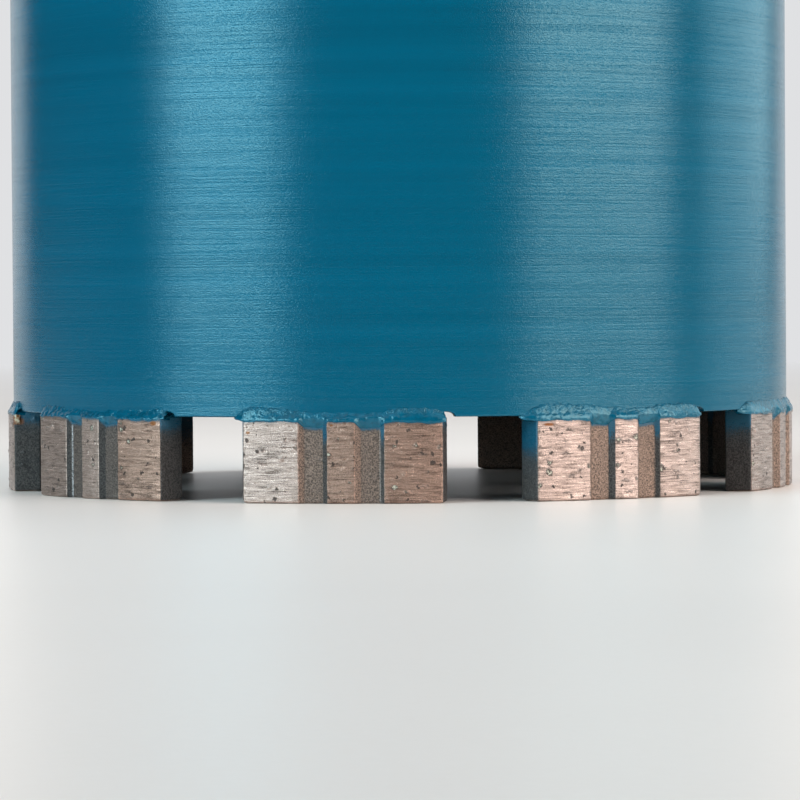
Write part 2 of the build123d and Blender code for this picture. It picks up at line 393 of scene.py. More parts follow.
def painted_solder(finishes):
    """Enamel over lumpy silver solder: thick and wet-looking, with painted shade in the hollows between its
    lumps and rust where it is thin.
    """
    material, tree = new_material("teal_enamel_on_lumpy_solder")
    place = node(tree, "TexCoord").outputs["Object"]
    crest = node(tree, "Attribute", attribute_name="crest").outputs["Fac"]
    # lumps 0.8 mm across with grain of 0.25 mm, both strongest on the crest
    lumps = node(tree, "TexNoise", {"Vector": place, "Scale": 1300.0, "Detail": 3.0, "Roughness": 0.6})
    grain = node(tree, "TexNoise", {"Vector": place, "Scale": 4200.0, "Detail": 2.0, "Roughness": 0.6})
    lump_strength = node(tree, "MapRange", (crest, 0.0, 1.0, 0.35, 1.0))
    grain_strength = node(tree, "MapRange", (crest, 0.0, 1.0, 0.3, 1.0))
    normal = node(tree, "Bump", {"Height": lumps, "Distance": 0.18 * MM, "Strength": lump_strength})
    normal = node(tree, "Bump", {"Height": grain, "Distance": 0.12 * MM, "Strength": grain_strength,
                                 "Normal": normal})
    # the odd worn spot, 2 mm across, lets rust through
    worn = node(tree, "TexNoise", {"Vector": place, "Scale": 420.0, "Detail": 4.0, "Roughness": 0.7})
    worn = node(tree, "MapRange", (worn, 0.72, 0.76, 0.0, 0.8))
    # painted shade: the hollows between the lumps are painted darker than the lump tops
    hollow_shade_mix = node(tree, "MapRange", (lumps, 0.35, 0.6, 0.0, 1.0))
    colour = node(tree, "Mix", {0: hollow_shade_mix, 6: toned(finishes.paint, 0.7), 7: finishes.paint},
                  data_type="RGBA").outputs[2]
    colour = node(tree, "Mix", {0: worn, 6: colour, 7: finishes.rust}, data_type="RGBA").outputs[2]
    # dried flux is chalky with brown between its lumps
    chalk = node(tree, "MapRange", (lumps, 0.42, 0.58, 0.0, 1.0))
    chalk = node(tree, "Mix", {0: chalk, 6: finishes.rust, 7: finishes.flux}, data_type="RGBA").outputs[2]
    flux = node(tree, "Attribute", attribute_name="flux").outputs["Fac"]
    colour = node(tree, "Mix", {0: flux, 6: colour, 7: chalk}, data_type="RGBA").outputs[2]
    shader = node(tree, "BsdfPrincipled",
                  {"Base Color": colour, "Metallic": 0.05, "Roughness": 0.17, "Normal": normal,
                   "Specular IOR Level": 0.62, "Specular Tint": linear(ENAMEL_TINT)})
    node(tree, "OutputMaterial", {"Surface": shader})
    return material


def sintered_bond(finishes):
    """Ground sintered bronze with diamond grit: streaked, pitted and pinkish on the lands."""
    material, tree = new_material("sintered_bronze_bond_with_diamond_grit")
    spot = node(tree, "Attribute", attribute_name="spot").outputs["Vector"]
    land = node(tree, "Attribute", attribute_name="land").outputs["Fac"]
    side = node(tree, "Attribute", attribute_name="side").outputs["Fac"]

    # grinding streaks lie across the lands, 0.15 mm apart, between broader ones of 0.4 mm
    streaks = node(tree, "VectorMath", (spot, (420.0, 900.0, 6800.0)), operation="MULTIPLY")
    streaks = node(tree, "TexNoise", {"Vector": streaks, "Scale": 1.0, "Detail": 2.0, "Roughness": 0.6})
    broad = node(tree, "VectorMath", (spot, (420.0, 900.0, 2600.0)), operation="MULTIPLY")
    broad = node(tree, "TexNoise", {"Vector": broad, "Scale": 1.0, "Detail": 3.0, "Roughness": 0.6})
    # the powder's own grain is 0.1 mm, and cloudy patches are 4 mm
    grain = node(tree, "TexNoise", {"Vector": spot, "Scale": 9000.0, "Detail": 1.0, "Roughness": 0.6})
    cloud = node(tree, "TexNoise", {"Vector": spot, "Scale": 260.0, "Detail": 3.0, "Roughness": 0.6})
    mark = mixed_sum(tree, (streaks, 0.4), (broad, 0.3), (grain, 0.3))
    ground = node(tree, "MapRange", (mark, 0.38, 0.60, 0.0, 1.0))
    bond = node(tree, "Mix", {0: ground, 6: toned(finishes.bond, 0.26),
                              7: toned(finishes.bond, 1.55, 0.05)}, data_type="RGBA").outputs[2]
    patches = node(tree, "MapRange", (cloud, 0.4, 0.7, 0.0, 0.4))
    bond = node(tree, "Mix", {0: patches, 6: bond, 7: linear("#BFA89C")}, data_type="RGBA").outputs[2]

    # unground skin is sandy, 0.2 mm, and darker on the ends and on the walls that face left, where the
    # mould has left it so; the same dark colour is painted shade in the channels of some segments
    facet = node(tree, "TexNoise", {"Vector": spot, "Scale": 5200.0, "Detail": 1.0})
    sand = mixed_sum(tree, (facet, 0.6), (grain, 0.4))
    sandy = node(tree, "MapRange", (sand, 0.38, 0.62, 0.0, 1.0))
    raw = node(tree, "Mix", {0: sandy, 6: toned(finishes.bond_dark, 0.85), 7: linear("#9E8677")},
               data_type="RGBA").outputs[2]
    sandy = node(tree, "MapRange", (sand, 0.40, 0.62, 0.0, 1.0))
    dark_skin_and_shade = node(tree, "Mix", {0: sandy, 6: linear("#121112"), 7: linear("#494644")},
                 data_type="RGBA").outputs[2]
    raw = node(tree, "Mix", {0: side, 6: raw, 7: dark_skin_and_shade}, data_type="RGBA").outputs[2]

    # painted shade makes some lands darker and browner, and a painted highlight runs along some corners of
    # the channels
    land_shade = node(tree, "Attribute", attribute_name="land_shade").outputs["Fac"]
    land_shade = node(tree, "Math", (land_shade, 0.85), operation="MULTIPLY")
    bond = node(tree, "Mix", {0: land_shade, 6: bond, 7: linear("#DCC9BC")}, data_type="RGBA",
                blend_type="MULTIPLY").outputs[2]
    colour = node(tree, "Mix", {0: land, 6: raw, 7: bond}, data_type="RGBA").outputs[2]
    # painted highlight: a pale line along some corners of the channels, broken by the sand
    corner_glint = node(tree, "Attribute", attribute_name="corner_glint").outputs["Fac"]
    corner_glint = node(tree, "Math", (corner_glint, 2.2), operation="POWER")
    glint_break = node(tree, "MapRange", (sand, 0.40, 0.58, 0.15, 1.0))
    corner_glint = node(tree, "Math", (corner_glint, glint_break), operation="MULTIPLY")
    colour = node(tree, "Mix", {0: corner_glint, 6: colour, 7: linear("#C4C8CC")}, data_type="RGBA").outputs[2]

    # pits and crystals are 0.1 to 0.6 mm across, one to each cell of 1.3 mm, with ragged edges
    wander = node(tree, "TexNoise", {"Vector": spot, "Scale": 2900.0, "Detail": 3.0}).outputs["Color"]
    wander = node(tree, "VectorMath", {0: wander, "Scale": 0.85 * MM}, operation="SCALE")
    ragged = node(tree, "VectorMath", (spot, wander), operation="ADD")
    flat = node(tree, "SeparateXYZ", (ragged,))
    flat = node(tree, "CombineXYZ", (flat.outputs[0], flat.outputs[2]))
    cells = node(tree, "TexVoronoi", {"Vector": flat, "Scale": 760.0}, voronoi_dimensions="2D")
    chance = node(tree, "SeparateColor", (cells.outputs["Color"],))
    reach = node(tree, "MapRange", (chance.outputs[1], 0.2, 1.0, 0.05, 0.22))
    spare = node(tree, "Math", (reach, cells), operation="SUBTRACT")
    is_grit = node(tree, "Math", (chance, 0.86), operation="GREATER_THAN")
    is_pit = node(tree, "Math", (chance, 0.46), operation="LESS_THAN")
    pit = node(tree, "MapRange", (spare, 0.0, 0.05, 0.0, 1.0))
    pit = node(tree, "Math", (pit, is_pit), operation="MULTIPLY")
    grit = node(tree, "MapRange", (spare, -0.02, 0.03, 0.0, 1.0))
    grit = node(tree, "Math", (grit, is_grit), operation="MULTIPLY")
    ring = node(tree, "MapRange", (spare, -0.16, -0.02, 0.0, 1.0))
    ring = node(tree, "Math", (ring, is_grit), operation="MULTIPLY")
    ring = node(tree, "Math", (ring, 0.8), operation="MULTIPLY")

    # short dark tails lie along the grinding, 0.8 mm by 0.2 mm
    tails = node(tree, "VectorMath", (flat, (0.25, 1.2, 1.0)), operation="MULTIPLY")
    tails = node(tree, "TexVoronoi", {"Vector": tails, "Scale": 1000.0}, voronoi_dimensions="2D")
    has_tail = node(tree, "SeparateColor", (tails.outputs["Color"],))
    has_tail = node(tree, "Math", (has_tail, 0.22), operation="LESS_THAN")
    tail = node(tree, "MapRange", (tails, 0.20, 0.08, 0.0, 1.0))
    tail = node(tree, "Math", (tail, has_tail), operation="MULTIPLY")
    tail = node(tree, "Math", (tail, 0.6), operation="MULTIPLY")
    dark = node(tree, "Math", (pit, ring), operation="MAXIMUM")
    dark = node(tree, "Math", (dark, tail), operation="MAXIMUM")
    dark = node(tree, "Math", (dark, land), operation="MULTIPLY")
    grit = node(tree, "Math", (grit, land), operation="MULTIPLY")
    shown = node(tree, "Math", (dark, 0.82), operation="MULTIPLY")
    colour = node(tree, "Mix", {0: shown, 6: colour, 7: linear("#241D1A")}, data_type="RGBA").outputs[2]
    facet = node(tree, "MapRange", (facet, 0.42, 0.58, 0.0, 1.0))
    crystal = node(tree, "Mix", {0: facet, 6: toned(finishes.grit, 0.22), 7: finishes.grit},
                   data_type="RGBA").outputs[2]
    shown = node(tree, "Math", (grit, 0.9), operation="MULTIPLY")
    colour = node(tree, "Mix", {0: shown, 6: colour, 7: crystal}, data_type="RGBA").outputs[2]

    # overspray from the bead above, solid at first and then a mist, with a broken edge
    drift = node(tree, "Attribute", attribute_name="paint").outputs["Fac"]
    broken = node(tree, "MapRange", (grain, 0.25, 0.75, -0.25, 0.25))
    drift = node(tree, "Math", (drift, broken), operation="ADD")
    broken = node(tree, "MapRange", (cloud, 0.3, 0.7, -0.15, 0.15))
    drift = node(tree, "Math", (drift, broken), operation="ADD")
    covered = node(tree, "MapRange", (drift, 0.42, 0.62, 0.0, 1.0))
    misted = node(tree, "MapRange", (drift, 0.05, 0.45, 0.0, 0.3))
    colour = node(tree, "Mix", {0: misted, 6: colour, 7: linear("#23404C")}, data_type="RGBA").outputs[2]
    # the solid overspray is painted a fifth darker than the tube's enamel: painted shade under the bead and
    # in the channels
    colour = node(tree, "Mix", {0: covered, 6: colour, 7: toned(finishes.paint, 0.8)},
                  data_type="RGBA").outputs[2]
    stain = node(tree, "Attribute", attribute_name="stain").outputs["Fac"]
    broken = node(tree, "Math", (grain, 0.7), operation="MULTIPLY")
    stain = node(tree, "Math", (stain, broken), operation="ADD")
    stain = node(tree, "MapRange", (stain, 0.7, 1.2, 0.0, 0.9))
    colour = node(tree, "Mix", {0: stain, 6: colour, 7: finishes.rust}, data_type="RGBA").outputs[2]

    relief = mixed_sum(tree, (mark, 0.7), (grain, 0.3))
    sunk = node(tree, "Math", (dark, 0.8), operation="MULTIPLY")
    relief = node(tree, "Math", (relief, sunk), operation="SUBTRACT")
    proud = node(tree, "Math", (grit, 0.6), operation="MULTIPLY")
    relief = node(tree, "Math", (relief, proud), operation="ADD")
    normal = node(tree, "Bump", {"Height": relief, "Distance": 0.13 * MM})
    # ground lands shine as metal, channels half as much, and paint, pits, dark skin and the painted shade
    # don't
    dull = node(tree, "Math", (covered, dark), operation="MAXIMUM")
    shine = node(tree, "Math", (1.0, dull), operation="SUBTRACT")
    shine = node(tree, "Math", (land, shine), operation="MULTIPLY")
    unpolished_and_shaded = node(tree, "Math", (covered, side), operation="MAXIMUM")
    bare = node(tree, "Math", (1.0, unpolished_and_shaded), operation="SUBTRACT")
    bare = node(tree, "Math", (bare, 0.4), operation="MULTIPLY")
    metal = node(tree, "MapRange", (shine, 0.0, 1.0, 0.0, 0.85))
    metal = node(tree, "Math", (metal, bare), operation="MAXIMUM")
    smooth = node(tree, "Math", (shine, covered), operation="MAXIMUM")
    smooth = node(tree, "MapRange", (smooth, 0.0, 1.0, 0.25, 0.0))
    rough = node(tree, "MapRange", (mark, 0.36, 0.64, 0.46, 0.22))
    rough = node(tree, "Math", (rough, smooth), operation="ADD")
    shader = node(tree, "BsdfPrincipled",
                  {"Base Color": colour, "Metallic": metal, "Roughness": rough, "Normal": normal})
    node(tree, "OutputMaterial", {"Surface": shader})
    return material


def turned_steel(finishes):
    """Bare turned steel: fine tool rings round the axis, with paint mist near the weld."""
    material, tree = new_material("bare_turned_steel")
    place = node(tree, "TexCoord").outputs["Object"]
    x, y, z = node(tree, "SeparateXYZ", (place,)).outputs
    across = node(tree, "Math", (x, x), operation="MULTIPLY")
    along = node(tree, "Math", (y, y), operation="MULTIPLY")
    radius = node(tree, "Math", (across, along), operation="ADD")
    radius = node(tree, "Math", (radius,), operation="SQRT")
    # one ring each 0.2 mm of feed, which is 31400 radians a metre
    rings = node(tree, "Math", (radius, z), operation="ADD")
    rings = node(tree, "Math", (rings, 31400.0), operation="MULTIPLY")
    rings = node(tree, "Math", (rings,), operation="SINE")
    # stains are 5 mm across, and the mist's drops 0.5 mm
    cloud = node(tree, "TexNoise", {"Vector": place, "Scale": 180.0, "Detail": 4.0, "Roughness": 0.6})
    relief = node(tree, "Math", (rings, cloud), operation="ADD")
    normal = node(tree, "Bump", {"Height": relief, "Distance": 0.008 * MM})
    mist = node(tree, "TexNoise", {"Vector": place, "Scale": 2200.0, "Detail": 3.0, "Roughness": 0.7})
    mist = node(tree, "MapRange", (mist, 0.2, 0.8, -3 * MM, 3 * MM))
    level = node(tree, "Math", (z, mist), operation="ADD")
    covered = node(tree, "MapRange", (level, MIST_TOP, MIST_TOP - 2 * MM, 0.0, 1.0))
    tone = node(tree, "MapRange", (cloud, 0.3, 0.7, 0.0, 1.0))
    colour = node(tree, "Mix", {0: tone, 6: toned(finishes.steel, 0.8), 7: finishes.steel},
                  data_type="RGBA").outputs[2]
    colour = node(tree, "Mix", {0: covered, 6: colour, 7: finishes.paint}, data_type="RGBA").outputs[2]
    metal = node(tree, "Math", (covered, 0.65), operation="MULTIPLY")
    metal = node(tree, "Math", (1.0, metal), operation="SUBTRACT")
    shader = node(tree, "BsdfPrincipled",
                  {"Base Color": colour, "Metallic": metal, "Roughness": 0.34, "Normal": normal})
    node(tree, "OutputMaterial", {"Surface": shader})
    return material


def matt_paper(studio):
    """Matt paper floor: the camera sees it run into the backdrop, and for light that bounces or reflects it
    is dim past the table's edge, painted shade in the reflections.
    """
    material, tree = new_material("matt_studio_paper")
    place = node(tree, "TexCoord").outputs["Object"]
    mottle = node(tree, "TexNoise", {"Vector": place, "Scale": 9.0, "Detail": 3.0})
    mottle = node(tree, "MapRange", (mottle, 0.3, 0.7, 0.0, 0.035))
    fibre = node(tree, "TexNoise", {"Vector": place, "Scale": 900.0, "Detail": 2.0})
    fibre = node(tree, "MapRange", (fibre, 0.3, 0.7, 0.0, 0.012))
    distance = node(tree, "VectorMath", (place,), operation="LENGTH").outputs["Value"]
    # painted light: the paper is painted up to a quarter darker from 0.06 m to 0.34 m off the bit, a pool
    # of light round it
    painted_falloff = node(tree, "MapRange", (distance, 0.06, 0.34, 0.0, 0.25))
    tone = node(tree, "Math", (mottle, fibre), operation="ADD")
    tone = node(tree, "Math", (tone, painted_falloff), operation="ADD")
    colour = node(tree, "Mix", {0: tone, 6: studio.floor, 7: (0, 0, 0)}, data_type="RGBA").outputs[2]
    paper = node(tree, "BsdfPrincipled", {"Base Color": colour, "Roughness": 0.35})
    dim = node(tree, "BsdfDiffuse", {"Color": linear(REFLECTION_SHADE_GREY)})
    glow = node(tree, "Emission", {"Color": studio.backdrop, "Strength": 1.0})
    path = node(tree, "LightPath")
    ahead = node(tree, "SeparateXYZ", (place,)).outputs[1]
    # for light that bounces, the table is dim in front of the bit from 0.35 m off, and in gloss from 0.08 m
    near = node(tree, "MapRange", (distance, 0.08, 0.4, 0.0, 1.0))
    near = node(tree, "Math", (near, path.outputs["Is Glossy Ray"]), operation="MULTIPLY")
    front = node(tree, "MapRange", (ahead, 0.05, -0.15, 0.0, 1.0))
    near = node(tree, "Math", (near, front), operation="MULTIPLY")
    far = node(tree, "MapRange", (distance, 0.35, 1.0, 0.0, 1.0))
    front = node(tree, "MapRange", (ahead, 0.3, -0.2, 0.0, 1.0))
    far = node(tree, "Math", (far, front), operation="MULTIPLY")
    unlit = node(tree, "Math", (far, near), operation="MAXIMUM")
    table = node(tree, "MixShader", (unlit, paper, dim))
    into_backdrop = node(tree, "MapRange", (distance, 0.35, 1.1, 0.0, 1.0))
    shown = node(tree, "MixShader", (into_backdrop, paper, glow))
    both = node(tree, "MixShader", (path.outputs["Is Camera Ray"], table, shown))
    node(tree, "OutputMaterial", {"Surface": both})
    return material


def pale_paper(studio):
    """Pale paper wall, seen by the camera and in reflections."""
    material, tree = new_material("pale_backdrop_paper")
    glow = node(tree, "Emission", {"Color": studio.backdrop, "Strength": 1.0})
    node(tree, "OutputMaterial", {"Surface": glow})
    return material


def world_light(scene, studio):
    """Pale paper behind for the camera, and a low even fill for the object."""
    world = bpy.data.worlds.new("studio_world")
    world.use_nodes = True
    tree = world.node_tree
    tree.nodes.clear()
    seen = node(tree, "Background", {"Color": studio.backdrop, "Strength": 1.0})
    fill = node(tree, "Background", {"Color": (1, 1, 1), "Strength": studio.fill})
    dim = node(tree, "Background", {"Color": (1, 1, 1), "Strength": 0.02})
    path = node(tree, "LightPath")
    unseen = node(tree, "MixShader", (path.outputs["Is Glossy Ray"], fill, dim))
    both = node(tree, "MixShader", (path.outputs["Is Camera Ray"], unseen, seen))
    node(tree, "OutputWorld", {"Surface": both})
    scene.world = world


def finish_named(maker, scene):
    """The one material that a maker function gives, made at its first use."""
    if maker.__name__ not in MADE:
        MADE[maker.__name__] = maker(scene.core_bit_finishes)
    return MADE[maker.__name__]


MADE = {}


# ------------------------------------------------------------------ geometry nodes

def end_tree(tree, out, geometry, finish):
    """Ends a tree with plain faces in one finish."""
    real = node(tree, "GeometryNodeRealizeInstances", {"Geometry": geometry})
    done = node(tree, "GeometryNodeSetMaterial", {"Geometry": real, "Material": finish})
    tree.links.new(done.outputs[0], out.inputs[0])
    return tree


def raised(tree, given, height):
    """The surface moved along its normals by a height in metres, where the mesh is free to move."""
    free = node(tree, "GeometryNodeInputNamedAttribute", {"Name": "free"}, data_type="FLOAT")
    height = node(tree, "Math", (height, free), operation="MULTIPLY")
    normal = node(tree, "GeometryNodeInputNormal")
    offset = node(tree, "VectorMath", {0: normal, "Scale": height}, operation="SCALE")
    return node(tree, "GeometryNodeSetPosition", {"Geometry": given.outputs["Geometry"], "Offset": offset})


def sintered_relief():
    """Grinding streaks, pits and standing crystals on a segment."""
    tree, given, out = new_geometry_tree("Sintered relief", {
        "Streak depth": 0.02 * MM, "Pit depth": 0.1 * MM, "Crystal height": 0.05 * MM})
    spot = node(tree, "GeometryNodeInputNamedAttribute", {"Name": "spot"}, data_type="FLOAT_VECTOR")
    # streaks 0.3 mm apart and 7 mm long, over grain of 0.7 mm
    streak = node(tree, "VectorMath", (spot, (150.0, 1200.0, 3000.0)), operation="MULTIPLY")
    streak = node(tree, "TexNoise", {"Vector": streak, "Scale": 1.0, "Detail": 2.0})
    streak = node(tree, "Math", (streak, 0.5), operation="SUBTRACT")
    grain = node(tree, "TexNoise", {"Vector": spot, "Scale": 1500.0, "Detail": 2.0})
    grain = node(tree, "Math", (grain, 0.5), operation="SUBTRACT")
    # each cell of 1.6 mm may hold one pit or one crystal
    cells = node(tree, "TexVoronoi", {"Vector": spot, "Scale": 620.0, "Randomness": 1.0})
    near = node(tree, "MapRange", (cells, 0.24, 0.1, 0.0, 1.0))
    chance = node(tree, "FunctionNodeSeparateColor", (cells.outputs["Color"],))
    pit = node(tree, "Math", (chance, 0.22), operation="LESS_THAN")
    pit = node(tree, "Math", (near, pit), operation="MULTIPLY")
    pit = node(tree, "Math", (pit, given.outputs["Pit depth"]), operation="MULTIPLY")
    crystal = node(tree, "Math", (chance, 0.72), operation="GREATER_THAN")
    crystal = node(tree, "Math", (near, crystal), operation="MULTIPLY")
    crystal = node(tree, "Math", (crystal, given.outputs["Crystal height"]), operation="MULTIPLY")
    height = node(tree, "Math", (streak, grain), operation="ADD")
    height = node(tree, "Math", (height, given.outputs["Streak depth"]), operation="MULTIPLY")
    height = node(tree, "Math", (height, pit), operation="SUBTRACT")
    height = node(tree, "Math", (height, crystal), operation="ADD")
    return end_tree(tree, out, raised(tree, given, height), given.outputs["Finish"])


def solder_relief():
    """Lumps and ripples on a bead of solder."""
    tree, given, out = new_geometry_tree("Solder relief", {
        "Lump size": 1.2 * MM, "Lump height": 0.10 * MM, "Curl height": 0.10 * MM,
        "Grain height": 0.06 * MM})
    place = node(tree, "GeometryNodeInputPosition")
    scale = node(tree, "Math", (1.0, given.outputs["Lump size"]), operation="DIVIDE")
    lumps = node(tree, "TexNoise", {"Vector": place, "Scale": scale, "Detail": 2.0})
    lumps = node(tree, "Math", (lumps, 0.5), operation="SUBTRACT")
    lumps = node(tree, "Math", (lumps, given.outputs["Lump height"]), operation="MULTIPLY")
    # grain 0.6 mm across
    grain = node(tree, "TexNoise", {"Vector": place, "Scale": 1800.0, "Detail": 2.0})
    grain = node(tree, "Math", (grain, 0.5), operation="SUBTRACT")
    grain = node(tree, "Math", (grain, given.outputs["Grain height"]), operation="MULTIPLY")
    # curls of solder drawn up the joint: ridges about 0.5 mm apart
    curls = node(tree, "TexNoise", {"Vector": place, "Scale": 900.0, "Detail": 2.0})
    curls = node(tree, "Math", (curls, 0.5), operation="SUBTRACT")
    curls = node(tree, "Math", (curls,), operation="ABSOLUTE")
    curls = node(tree, "Math", (curls, 1.6), operation="MULTIPLY")
    curls = node(tree, "Math", (0.08, curls), operation="SUBTRACT")
    curls = node(tree, "Math", (curls, given.outputs["Curl height"]), operation="MULTIPLY")
    height = node(tree, "Math", (lumps, grain), operation="ADD")
    height = node(tree, "Math", (height, curls), operation="ADD")
    return end_tree(tree, out, raised(tree, given, height), given.outputs["Finish"])


def weld_ripples():
    """Overlapping ripples along a ring weld."""
    tree, given, out = new_geometry_tree("Weld ripples", {
        "Ripple length": 1.1 * MM, "Ripple height": 0.22 * MM})
    around = node(tree, "GeometryNodeInputNamedAttribute", {"Name": "around"}, data_type="FLOAT")
    place = node(tree, "GeometryNodeInputPosition")
    # a wobble 3 mm long keeps the ripples from being all alike
    wobble = node(tree, "TexNoise", {"Vector": place, "Scale": 300.0, "Detail": 2.0})
    wobble = node(tree, "Math", (wobble, 0.8), operation="MULTIPLY")
    phase = node(tree, "Math", (around, given.outputs["Ripple length"]), operation="DIVIDE")
    phase = node(tree, "Math", (phase, wobble), operation="ADD")
    height = node(tree, "Math", (phase,), operation="FRACT")
    height = node(tree, "Math", (height, 1.0), operation="SUBTRACT")
    height = node(tree, "Math", (height, given.outputs["Ripple height"]), operation="MULTIPLY")
    return end_tree(tree, out, raised(tree, given, height), given.outputs["Finish"])


def helical_thread():
    """Cuts a thread into the wall of a bore: crest on the wall, root deeper."""
    tree, given, out = new_geometry_tree("Helical thread", {
        "Pitch": 25.4 / 7 * MM, "Depth": 1.88 * MM, "Bottom": THREAD_BOTTOM, "Run-out": 1.5 * MM})
    place = node(tree, "GeometryNodeInputPosition")
    x, y, z = node(tree, "SeparateXYZ", (place,)).outputs
    angle = node(tree, "Math", (y, x), operation="ARCTAN2")
    turn = node(tree, "Math", (angle, 2 * math.pi), operation="DIVIDE")
    phase = node(tree, "Math", (z, given.outputs["Pitch"]), operation="DIVIDE")
    phase = node(tree, "Math", (phase, turn), operation="SUBTRACT")
    phase = node(tree, "Math", (phase,), operation="FRACT")
    # a triangle wave with its tips cut flat
    wave = node(tree, "Math", (phase, 2.0), operation="MULTIPLY")
    wave = node(tree, "Math", (wave, 1.0), operation="SUBTRACT")
    wave = node(tree, "Math", (wave,), operation="ABSOLUTE")
    shape = node(tree, "MapRange", (wave, 0.14, 0.86, 0.0, 1.0))
    full = node(tree, "Math", (given.outputs["Bottom"], given.outputs["Run-out"]), operation="ADD")
    fade = node(tree, "MapRange", (z, given.outputs["Bottom"], full, 0.0, 1.0))
    depth = node(tree, "Math", (fade, shape), operation="MULTIPLY")
    depth = node(tree, "Math", (depth, given.outputs["Depth"]), operation="MULTIPLY")
    bore = node(tree, "GeometryNodeInputNamedAttribute", {"Name": "bore"}, data_type="FLOAT")
    depth = node(tree, "Math", (depth, bore), operation="MULTIPLY")
    outward = node(tree, "CombineXYZ", (x, y, 0.0))
    outward = node(tree, "VectorMath", (outward,), operation="NORMALIZE")
    offset = node(tree, "VectorMath", {0: outward, "Scale": depth}, operation="SCALE")
    moved = node(tree, "GeometryNodeSetPosition", {"Geometry": given.outputs["Geometry"], "Offset": offset})
    return end_tree(tree, out, moved, given.outputs["Finish"])


# ------------------------------------------------------------------ pieces

def edge_angles(extra, spacing):
    """Even angles round the axis with finer steps near each place in extra."""
    angles = list(np.linspace(0, 2 * math.pi, 720, endpoint=False))
    for middle in extra:
        angles += list(middle + np.arange(-18, 19) * spacing)
    return np.unique(np.round(np.mod(angles, 2 * math.pi), 6))


def notch_places(sizes):
    """Angle of each bite in the barrel's lower edge."""
    along = sizes.segment_length / 2 + BEAD_TAIL + sizes.notch_radius
    turn = math.asin(along / sizes.barrel_radius)
    return [FIRST_ANGLE + n * SEGMENT_PITCH + turn for n in range(SEGMENT_COUNT)]


def barrel_mesh(sizes):
    """The tube: rounded lower edge with a round bite past each bead, bevelled top."""
    outer, inner = sizes.barrel_radius, sizes.barrel_radius - sizes.barrel_wall
    low, top = sizes.segment_height + JOINT_FILM, BARREL_HIGH.z
    outline = rounded([(inner, low), (outer, low), (outer, top - TUBE_BEVEL), (outer - TUBE_BEVEL, top),
                       (inner, top)], [0.15 * MM, 0.22 * MM, 0.0, 0.0, 0.1 * MM])
    places = notch_places(sizes)
    angles = edge_angles(places, 0.045 * MM / outer)
    rings = []
    for angle in angles:
        lift = 0.0
        for place in places:
            off = ((angle - place + math.pi) % (2 * math.pi) - math.pi) * outer
            # the bite is highest beside the bead and falls away from it
            off = (off + sizes.notch_radius + BEAD_TAIL) / (sizes.notch_radius * 1.95)
            if 0.0 < off < 1.0:
                lift = 0.6 * MM * math.sqrt(1 - off ** 2)
        height = np.where(outline[:, 1] < low + 1.0 * MM, outline[:, 1] + lift, outline[:, 1])
        x, y = outline[:, 0] * math.cos(angle), outline[:, 0] * math.sin(angle)
        rings.append(np.column_stack([x, y, height]))
    return mesh_object("barrel", np.concatenate(rings), close_rings(len(angles), len(outline)))


def box_grid(columns, rows, layers):
    """The surface of a box of cells: whole-number points and outward quads."""
    def side(fixed, value, first, second):
        a, b = np.meshgrid(np.arange(first[1]), np.arange(second[1]), indexing="ij")
        corners = []
        for da, db in ((0, 0), (1, 0), (1, 1), (0, 1)):
            point = np.zeros(a.shape + (3,), int)
            point[..., fixed] = value
            point[..., first[0]] = a + da
            point[..., second[0]] = b + db
            corners.append(point)
        return np.stack(corners, -2).reshape(-1, 4, 3)
    u, v, w = (0, columns), (1, rows), (2, layers)
    quads = np.concatenate([side(2, 0, v, u), side(2, layers, u, v), side(0, 0, w, v),
                            side(0, columns, v, w), side(1, 0, u, w), side(1, rows, w, u)])
    code = quads[..., 0] * 1000000 + quads[..., 1] * 1000 + quads[..., 2]
    unique, faces = np.unique(code, return_inverse=True)
    lattice = np.stack([unique // 1000000, unique // 1000 % 1000, unique % 1000], -1)
    return lattice, faces.reshape(-1, 4)


def groove_depth(sizes, along):
    """How deep the two channels are at each place along a segment, walls at 45 degrees."""
    deepest = np.zeros_like(along)
    for middle in (-sizes.groove_offset, sizes.groove_offset):
        off = np.abs(along - middle) - sizes.groove_floor / 2
        deepest = np.maximum(deepest, np.clip(sizes.groove_depth - off, 0, sizes.groove_depth))
    return deepest


def land_edges(sizes):
    """Places along a segment where a land ends."""
    half = sizes.groove_floor / 2 + sizes.groove_depth
    inner = [side * sizes.groove_offset + way * half for side in (-1, 1) for way in (-1, 1)]
    return [-sizes.segment_length / 2] + inner + [sizes.segment_length / 2]


def segment_columns(sizes):
    """Places of the mesh columns along a segment, with one at each edge of each channel."""
    half = sizes.segment_length / 2
    edges = [side * (sizes.groove_offset + way * reach)
             for side in (-1, 1) for way in (-1, 1)
             for reach in (sizes.groove_floor / 2, sizes.groove_floor / 2 + sizes.groove_depth)]
    even = np.linspace(-half, half, 143)
    kept = [a for a in even if min(abs(a - e) for e in edges) > 0.06 * MM]
    return np.sort(np.array(kept + edges))


def edge_pull(distance, radius):
    """How far a face draws in at a distance from a rounded edge: 0.29 of its radius at the edge itself."""
    return 0.29 * radius * np.clip(1 - distance / radius, 0, 1) ** 2


def paint_line(along, number):
    """Height where the paint ends on a segment's outer face."""
    place = along / MM
    wave = 0.06 * np.sin(0.9 * place + 1.7 * number) + 0.05 * np.sin(2.3 * place - 0.8 * number)
    lift = {1: 0.03 - 0.011 * place, 8: 0.2, 9: 0.24 - 0.008 * place}.get(number, 0.0)
    return (9.62 + lift + wave) * MM


